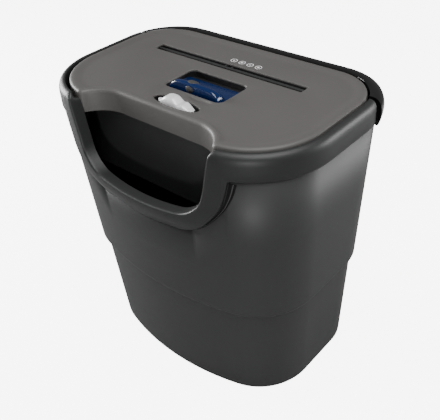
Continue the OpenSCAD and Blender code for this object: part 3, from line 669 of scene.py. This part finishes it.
class SHREDDER_OT_cover(bpy.types.Operator):
    """Make the top cover with its soft rim, dished deck, paper slot and windows"""
    bl_idname = "shredder.cover"
    bl_label = "Top cover"

    def execute(self, context):
        s = sizes()
        bm, wells = bmesh.new(), bmesh.new()
        deck = TOP - s.dish
        edge = [(0.0, SKIRT_LOW), (0.0, TOP - 0.0045), (0.0003, TOP - 0.0030), (0.0011, TOP - 0.0015),
                (0.0024, TOP - 0.0005), (0.0042, TOP), (0.0064, TOP - 0.00005), (0.0088, TOP - 0.0003),
                (0.0112, TOP - 0.0008), (0.0136, TOP - 0.0012), (0.0160, deck), (0.0185, deck)]
        rings = [at(cover_outline(o), z) for o, z in edge]
        _, rim = loft(bm, rings)
        holes = []
        lock_y = LOCK_LOW.y - 0.0006 + s.lock_d / 2
        switch_y = (KNOB_LOW.y + KNOB_HIGH.y) / 2
        slot_y = (THROAT_LOW.y + THROAT_HIGH.y) / 2
        slot_len = THROAT_HIGH.x - THROAT_LOW.x - 0.004
        openings = [
            (CONTROL_X, lock_y, s.lock_w, s.lock_d, 0.008, LOCK_LOW.z + 0.007 - 0.0002, True),
            (SLOT_X, slot_y, slot_len, s.slot_w, 0.0012, deck - 0.008, False),
        ]
        for cx, cy, w, d, r, floor, closed in openings:
            lead = [(0.0012, 0.0), (0.0006, 0.00015), (0.0002, 0.0005), (0.0, 0.0010)]
            rings = [at(rounded_window(cx, cy, w + 2 * o, d + 2 * o, r + o), deck - down) for o, down in lead]
            throat = at(rounded_window(cx, cy, w, d, r), deck - 0.0022)
            first, last = loft(bm, rings + [throat])
            holes.append(first)
            _, last = loft(wells, [throat, at(rounded_window(cx, cy, w, d, r), floor)])
            if closed:
                fill(wells, last)
        eye, floor = [], KNOB_LOW.z + 0.009
        switch_x = (KNOB_LOW.x + KNOB_HIGH.x) / 2
        for o, down in [(0.0010, 0.0), (0.0004, 0.0002), (0.0, 0.0009), (0.0, 0.0022), (0.0, deck - floor)]:
            eye.append(at(eye_shape(switch_x, switch_y, s.switch_w / 2 + o, s.switch_d / 2 + o), deck - down))
        first, _ = loft(bm, eye[:-1])
        holes.append(first)
        _, last = loft(wells, eye[-2:])
        fill(wells, last)
        scoop = [(1.0, 0.0), (0.92, 0.0003), (0.78, 0.0009), (0.55, 0.0016), (0.3, 0.0019)]
        front = LOCK_LOW.y - 0.006
        rings = []
        for k, down in scoop:
            ring = [(CONTROL_X + 0.020 + 0.017 * k * math.cos(a), front + 0.0034 * k * math.sin(a))
                    for a in (2 * math.pi * i / 40 for i in range(40))]
            rings.append(at(ring, deck - down))
        first, last = loft(bm, rings)
        holes.append(first)
        fill(bm, last)
        fill(bm, rim, *holes)
        piece = finish_piece("cover_shell", bm, LOOKS["cover"], "head", sharp=50)
        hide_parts("top_cover")
        finish_piece("window_wells", wells, LOOKS["black"], "head", sharp=50)
        return {"FINISHED"}


def eye_shape(cx, cy, a, b, n=14):
    """A long oval that runs to a soft point at both ends."""
    points = []
    for i in range(4 * n):
        t = 2 * math.pi * i / (4 * n)
        c, s = math.cos(t), math.sin(t)
        points.append((cx + a * c, cy + b * math.copysign(abs(s) ** 0.9, s)))
    return points


class SHREDDER_OT_rear_cap(bpy.types.Operator):
    """Make the glossy cap that wraps the back of the cover"""
    bl_idname = "shredder.rear_cap"
    bl_label = "Rear cap"

    def execute(self, context):
        bm = bmesh.new()
        start_y = CAP_LOW.y
        proud = 0.0006
        hw, back = COVER_HW + CAP_STEP - proud, HIGH.y - proud
        back_r = COVER_BACK_R + CAP_STEP - proud

        def rail(hw, back, r):
            cy = back - r
            a0 = math.asin(min(1.0, max(0.0, (start_y - cy) / r)))
            return chain(arc(hw - r, cy, r, a0, math.pi / 2, 30), line((hw - r, back), (0, back), 10))

        def outer(o):
            return rail(hw + o, back + o, back_r + o)

        def inner(o):
            return rail(COVER_HW + o, COVER_BACK + o, COVER_BACK_R + o)

        drop = TOP - CAP_LOW.z
        high = TOP - CAP_HIGH.z
        rails = [(outer, -0.0075, drop - 0.001), (outer, -0.0050, drop), (outer, -0.0038, drop - 0.0004),
                 (outer, -0.0026, drop - 0.0016), (outer, -0.0015, drop - 0.005), (outer, -0.0006, 0.023),
                 (outer, 0.0, 0.0175), (outer, -0.0001, 0.0150), (outer, -0.0006, 0.0115), (outer, -0.0016, 0.0084),
                 (outer, -0.0030, 0.0058), (outer, -0.0050, 0.0037), (outer, -0.0075, high + 0.0007),
                 (outer, -0.0100, high + 0.0001), (outer, -0.0120, high), (inner, 0.0026, high),
                 (inner, 0.0021, high + 0.0004), (inner, 0.0020, high + 0.0012), (inner, 0.0020, 0.0100),
                 (inner, 0.0090, 0.0100), (outer, -0.0060, 0.0130)]
        lines = [at(make(o), TOP - down) for make, o, down in rails]
        rings = [list(ring) for ring in zip(*lines)]
        first, last = loft(bm, rings)
        close_half(bm, first, last)
        piece = finish_piece("rear_cap_shell", bm, LOOKS["cap"], "head", sharp=50)
        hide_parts("rear_cap")
        centre = (GLAND_LOW + GLAND_HIGH) / 2
        for name, look, rows in (
            ("gland_ring", "rubber", [(0.0088, -0.0004), (0.0088, proud - 0.0002), (0.0086, proud), (0.0042, proud),
                                      (0.0038, proud - 0.0003), (0.0038, -0.0004)]),
            # A flat black disc in the gland's bore stands in for the shade of the hole: painted shadow.
            ("gland_bore", "seam", [(0.0039, 0.0001), (0.0020, 0.0001), (0.0002, 0.0001)]),
        ):
            bm = bmesh.new()
            loft(bm, [[(centre.x + r * math.cos(a), back + y, centre.z + r * math.sin(a))
                       for a in (2 * math.pi * i / 48 for i in range(48))] for r, y in rows])
            finish_piece(name, bm, LOOKS[look], "head")
        return {"FINISHED"}


class SHREDDER_OT_lock(bpy.types.Operator):
    """Make the clear blue lock slide with its grip bar and thumb pad"""
    bl_idname = "shredder.lock"
    bl_label = "Safety lock"

    def execute(self, context):
        bm = bmesh.new()
        cy = (LOCK_LOW.y + LOCK_HIGH.y) / 2
        w, d = LOCK_HIGH.x - LOCK_LOW.x, LOCK_HIGH.y - LOCK_LOW.y
        low = LOCK_LOW.z + 0.007
        top = low + 0.0035
        rings = [at(rounded_window(CONTROL_X, cy, w - 2 * o, d - 2 * o, 0.007 - o), z)
                 for o, z in [(0.0006, low), (0.0, low + 0.0006), (0.0, top - 0.0008), (0.0002, top - 0.0003),
                              (0.0008, top)]]
        first, last = loft(bm, rings)
        fill(bm, first)
        fill(bm, last)
        rise = LOCK_HIGH.z - 0.0010 - top
        front = LOCK_LOW.y + 0.0027
        half = w / 2 - 0.005
        section = [(0.0, 0.0), (0.0, 0.6), (0.0002, 0.84), (0.0008, 0.94), (0.0020, 0.985), (0.0038, 1.0),
                   (0.0062, 0.98), (0.0090, 0.89), (0.0120, 0.68), (0.0148, 0.36), (0.0172, 0.0)]
        steps = 40
        rings = []
        for i in range(steps + 1):
            t = -1 + 2 * i / steps
            t = math.copysign(abs(t) ** 0.7, t)
            bulge = (1 - abs(t) ** 6) ** 0.5 if abs(t) < 1 else 0.0
            swell = 0.92 + 0.08 * math.cos(t * math.pi / 2)
            x = CONTROL_X + half * t
            rings.append([(x, front + y * mix(0.75, 1.0, bulge), top - 0.0001 + rise * z * bulge * swell)
                          for y, z in section])
        first, last = loft(bm, rings, closed=False)
        slide = finish_piece("lock_slide_plate", bm, LOOKS["lock"], "lock_slide", sharp=45)
        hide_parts("safety_lock")
        bm = bmesh.new()
        made = bmesh.ops.create_uvsphere(bm, u_segments=36, v_segments=18, radius=1)["verts"]
        bmesh.ops.scale(bm, vec=(0.0115, 0.0072, 0.0080), verts=made)
        bmesh.ops.translate(bm, vec=(CONTROL_X - 0.005, front + 0.0062, LOCK_HIGH.z - 0.0080), verts=made)
        finish_piece("lock_thumb_pad", bm, LOOKS["pad"], "lock_slide")
        return {"FINISHED"}


class SHREDDER_OT_knob(bpy.types.Operator):
    """Make the silver switch knob with its finger hollow"""
    bl_idname = "shredder.knob"
    bl_label = "Switch knob"

    def execute(self, context):
        deck = TOP - sizes().dish
        cx, cy = (KNOB_LOW.x + KNOB_HIGH.x) / 2, (KNOB_LOW.y + KNOB_HIGH.y) / 2
        half, depth = (KNOB_HIGH.x - KNOB_LOW.x) / 2, (KNOB_HIGH.y - KNOB_LOW.y) / 2 - 0.0008
        foot = KNOB_LOW.z + 0.0092
        rise = KNOB_HIGH.z - deck
        steps = 48
        section = [(-1.0, 0.0), (-0.99, 0.45), (-0.93, 0.75), (-0.80, 0.93), (-0.5, 1.0), (0.0, 1.0),
                   (0.5, 1.0), (0.80, 0.93), (0.93, 0.75), (0.99, 0.45), (1.0, 0.0)]
        rings = []
        for i in range(steps + 1):
            t = -1 + 2 * i / steps
            wide = depth * max(0.03, 1 - abs(t) ** 3.2) ** 0.6
            hump = math.exp(-((t + 0.05) / 0.62) ** 4)
            hollow = math.exp(-((t - 0.26) / 0.20) ** 2)
            crown = deck - 0.0015 + (rise + 0.0015) * max(0.0, hump - 0.55 * hollow)
            rings.append([(cx + half * t, cy + wide * y, foot + (crown - foot) * z) for y, z in section])
        bm = bmesh.new()
        loft(bm, rings, closed=False)
        piece = finish_piece("switch_knob", bm, LOOKS["knob"], "switch_slide", sharp=55)
        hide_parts("power_switch")
        return {"FINISHED"}


class SHREDDER_OT_marks(bpy.types.Operator):
    """Make the row of four ring marks behind the controls"""
    bl_idname = "shredder.marks"
    bl_label = "Ring marks"

    def execute(self, context):
        deck = TOP - sizes().dish
        slot_y = (THROAT_LOW.y + THROAT_HIGH.y) / 2
        radius, band, pitch = 0.0044, 0.0010, 0.0121
        bm = bmesh.new()
        for k in range(4):
            centre = Vector((CONTROL_X - 0.0164 + k * pitch, slot_y + 0.017, deck + 0.00005))
            rings = []
            for r in (radius, radius - band):
                made = bmesh.ops.create_circle(bm, segments=32, radius=r)["verts"]
                bmesh.ops.translate(bm, vec=centre, verts=made)
                rings += list({e for v in made for e in v.link_edges})
            bmesh.ops.bridge_loops(bm, edges=rings)
            made = bmesh.ops.create_circle(bm, segments=20, radius=radius * (0.30 + 0.08 * (k % 2)), cap_ends=True)
            bmesh.ops.translate(bm, vec=centre, verts=made["verts"])
        piece = finish_piece("ring_marks", bm, LOOKS["print"], "head")
        ink = piece.modifiers.new("ink", "SOLIDIFY")
        ink.thickness = 0.00008
        return {"FINISHED"}


class SHREDDER_OT_works(bpy.types.Operator):
    """Give every part inside its finish"""
    bl_idname = "shredder.works"
    bl_label = "Works inside"

    def execute(self, context):
        for names, look in WORKS:
            for name in names.split():
                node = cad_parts[name]
                node.data.materials.clear()
                node.data.materials.append(LOOKS[look])
        return {"FINISHED"}


WORKS = [
    ("lower_housing throat_guide front_stripper rear_stripper cooling_fan motor_end_cap", "housing"),
    ("switch_body paper_switch interlock_switch", "black"),
    ("cord_gland", "rubber"),
    ("left_frame right_frame gear_plate", "zinc"),
    ("tie_rods plate_spacers gear_pins flag_pin", "bright"),
    ("cutter_shaft_front cutter_shaft_rear timing_gear_front timing_gear_rear", "tool"),
    ("motor_case thermal_cutout", "can"),
    ("shaft_bushes motor_bushes motor_pinion", "bronze"),
    ("motor_screws cover_screws frame_screws rod_screws", "screw"),
    ("field_magnets", "ferrite"),
    ("control_board terminal_block", "board"),
    ("relay", "relay"),
    ("capacitor", "capacitor"),
    ("drive_gear first_gear second_gear interlock_plunger paper_flag board_posts", "nylon"),
    ("armature", "winding"),
]
LOOKS = {}


class SHREDDER_OT_finishes(bpy.types.Operator):
    """Mix the finishes of all pieces"""
    bl_idname = "shredder.finishes"
    bl_label = "Finishes"

    def execute(self, context):
        c = colours()
        LOOKS.update(
            bin=finish("textured_bin_plastic", c.bin, 0.50, grain=0.35, Specular_IOR_Level=0.45),
            collar=finish("satin_collar_plastic", c.collar, 0.46, grain=0.22, Specular_IOR_Level=0.38),
            cover=finish("warm_grey_cover_plastic", c.cover, 0.50, grain=0.30, Specular_IOR_Level=0.45),
            cap=finish("gloss_black_plastic", (0.004, 0.004, 0.0045), 0.12, grain=0.05, Coat_Weight=0.6,
                       Coat_Roughness=0.05),
            lock=finish("clear_blue_plastic", c.lock, 0.22, grain=0.04, Coat_Weight=0.3, Coat_Roughness=0.08,
                        Transmission_Weight=0.25),
            pad=finish("smoked_thumb_pad", (0.045, 0.043, 0.042), 0.30, grain=0.1, Coat_Weight=0.3),
            knob=finish("silver_white_plastic", c.knob, 0.34, grain=0.12, Metallic=0.15),
            # Black laid on the hoop's slit and in the gland's bore, where there is only shade: painted shadow.
            seam=finish("seam_black", (0.004, 0.004, 0.004), 0.6, grain=0.1, Specular_IOR_Level=0.2),
            # A lighter grey than the bin on the rib, for light on its edge: painted highlight.
            rib=finish("seam_rib_plastic", (0.060, 0.060, 0.060), 0.40, grain=0.1),
            print=finish("white_print", (0.62, 0.62, 0.62), 0.5, grain=0.05),
            housing=finish("black_housing_plastic", (0.018, 0.0185, 0.019), 0.55, grain=0.3),
            black=finish("switch_black_plastic", (0.010, 0.010, 0.011), 0.4, grain=0.15),
            rubber=finish("gland_rubber", (0.012, 0.012, 0.012), 0.7, grain=0.5, grain_scale=700),
            zinc=brushed("zinc_plated_sheet", (0.55, 0.56, 0.57), 0.34, (1, 1, 14)),
            bright=brushed("bright_rod", (0.62, 0.62, 0.62), 0.25, (0.08, 1, 1)),
            tool=brushed("ground_cutter_steel", (0.42, 0.42, 0.43), 0.30, (0.3, 1, 1)),
            can=brushed("plated_motor_can", (0.50, 0.51, 0.52), 0.38, (0.1, 1, 1)),
            bronze=finish("sintered_bronze", (0.45, 0.26, 0.10), 0.45, grain=0.6, Metallic=1.0),
            screw=finish("black_zinc_screw", (0.16, 0.16, 0.165), 0.35, grain=0.2, Metallic=1.0),
            ferrite=finish("ferrite", (0.055, 0.055, 0.06), 0.6, grain=0.5),
            board=finish("board_green", (0.010, 0.085, 0.030), 0.35, grain=0.1, Coat_Weight=0.3),
            relay=finish("relay_blue", (0.010, 0.060, 0.260), 0.35, grain=0.1),
            capacitor=finish("capacitor_yellow", (0.55, 0.36, 0.03), 0.3, grain=0.05),
            nylon=finish("nylon", (0.72, 0.70, 0.62), 0.42, grain=0.15, Subsurface_Weight=0.05),
            winding=finish("armature_winding", (0.42, 0.16, 0.06), 0.35, grain=0.8, grain_scale=500,
                           Metallic=0.8),
            floor=finish("pale_floor", (0.30, 0.30, 0.30), 0.9, grain=0.0, drift=0.005, Specular_IOR_Level=0.0),
        )
        nodes, links = LOOKS["floor"].node_tree.nodes, LOOKS["floor"].node_tree.links
        seen = nodes.new("ShaderNodeLightPath")
        glow = nodes.new("ShaderNodeMath")
        glow.operation = "MULTIPLY"
        glow.inputs[1].default_value = 7
        links.new(seen.outputs["Is Camera Ray"], glow.inputs[0])
        links.new(glow.outputs["Value"], nodes["Principled BSDF"].inputs["Emission Strength"])
        nodes["Principled BSDF"].inputs["Emission Color"].default_value = (1, 1, 1, 1)
        return {"FINISHED"}


class SHREDDER_OT_stage(bpy.types.Operator):
    """Set the floor, the soft light and the camera"""
    bl_idname = "shredder.stage"
    bl_label = "Stage"

    def execute(self, context):
        bm = bmesh.new()
        bmesh.ops.create_grid(bm, x_segments=2, y_segments=2, size=4)
        mesh = bpy.data.meshes.new("floor")
        bm.to_mesh(mesh)
        bm.free()
        mesh.materials.append(LOOKS["floor"])
        floor = bpy.data.objects.new("floor", mesh)
        context.scene.collection.objects.link(floor)

        world = bpy.data.worlds.new("studio")
        world.use_nodes = True
        world.node_tree.nodes["Background"].inputs["Color"].default_value = (1, 1, 1, 1)
        world.node_tree.nodes["Background"].inputs["Strength"].default_value = 0.14
        context.scene.world = world
        target = Vector((0, 0, HIGH.z / 2))
        for name, azimuth, elevation, distance, size, power in [
            ("key", 60, 72, 1.6, 1.4, 34), ("left", -80, 14, 1.5, 0.7, 40), ("right", 135, 10, 1.5, 0.7, 17),
            ("front", 33, 4, 1.8, 0.25, 11),
        ]:
            lamp = bpy.data.lights.new(name, "AREA")
            lamp.shape = "DISK"
            lamp.size = size
            lamp.energy = power
            a, e = math.radians(azimuth), math.radians(elevation)
            away = Vector((math.sin(a) * math.cos(e), -math.cos(a) * math.cos(e), math.sin(e)))
            light = bpy.data.objects.new(name, lamp)
            light.location = target + away * distance
            light.rotation_mode = "QUATERNION"
            light.rotation_quaternion = away.to_track_quat("Z", "Y")
            context.scene.collection.objects.link(light)

        azimuth, elevation, roll = math.radians(43.42), math.radians(36.62), math.radians(-4.2)
        back = Vector((math.sin(azimuth) * math.cos(elevation), -math.cos(azimuth) * math.cos(elevation),
                       math.sin(elevation)))
        right = Vector((math.cos(azimuth), math.sin(azimuth), 0))
        up = back.cross(right)
        turned = right * math.cos(roll) + up * math.sin(roll)
        up = up * math.cos(roll) - right * math.sin(roll)
        aim = Vector((-0.0019, 0.0103, 0.18175))
        lens = bpy.data.cameras.new("camera")
        lens.lens = 51.55
        lens.sensor_width = 36
        camera = bpy.data.objects.new("camera", lens)
        distance = 0.822
        facing = Matrix((turned, up, back)).transposed().to_4x4()
        camera.matrix_world = Matrix.Translation(aim + back * distance) @ facing
        context.scene.collection.objects.link(camera)
        context.scene.camera = camera
        return {"FINISHED"}


class SHREDDER_PT_panel(bpy.types.Panel):
    """Lists the pieces of the shredder"""
    bl_idname = "SHREDDER_PT_panel"
    bl_label = "Shredder"
    bl_space_type = "VIEW_3D"
    bl_region_type = "UI"
    bl_category = "Shredder"

    def draw(self, context):
        for group in (context.scene.shredder_sizes, context.scene.shredder_colours):
            for name in group.__annotations__:
                self.layout.prop(group, name)
        for operator in OPERATORS:
            self.layout.operator(operator.bl_idname)


OPERATORS = (
    SHREDDER_OT_finishes, SHREDDER_OT_stage, SHREDDER_OT_bin, SHREDDER_OT_collar, SHREDDER_OT_seams,
    SHREDDER_OT_cover, SHREDDER_OT_rear_cap, SHREDDER_OT_lock, SHREDDER_OT_knob, SHREDDER_OT_marks, SHREDDER_OT_works,
)
CLASSES = (ShredderSizes, ShredderColours, *OPERATORS, SHREDDER_PT_panel)


def register():
    for each in CLASSES:
        bpy.utils.register_class(each)
    bpy.types.Scene.shredder_sizes = bpy.props.PointerProperty(type=ShredderSizes)
    bpy.types.Scene.shredder_colours = bpy.props.PointerProperty(type=ShredderColours)


def unregister():
    del bpy.types.Scene.shredder_colours
    del bpy.types.Scene.shredder_sizes
    for each in reversed(CLASSES):
        bpy.utils.unregister_class(each)


def main():
    register()
    for operator in OPERATORS:
        group, name = operator.bl_idname.split(".")
        getattr(getattr(bpy.ops, group), name)()


if __name__ == "__main__":
    main()
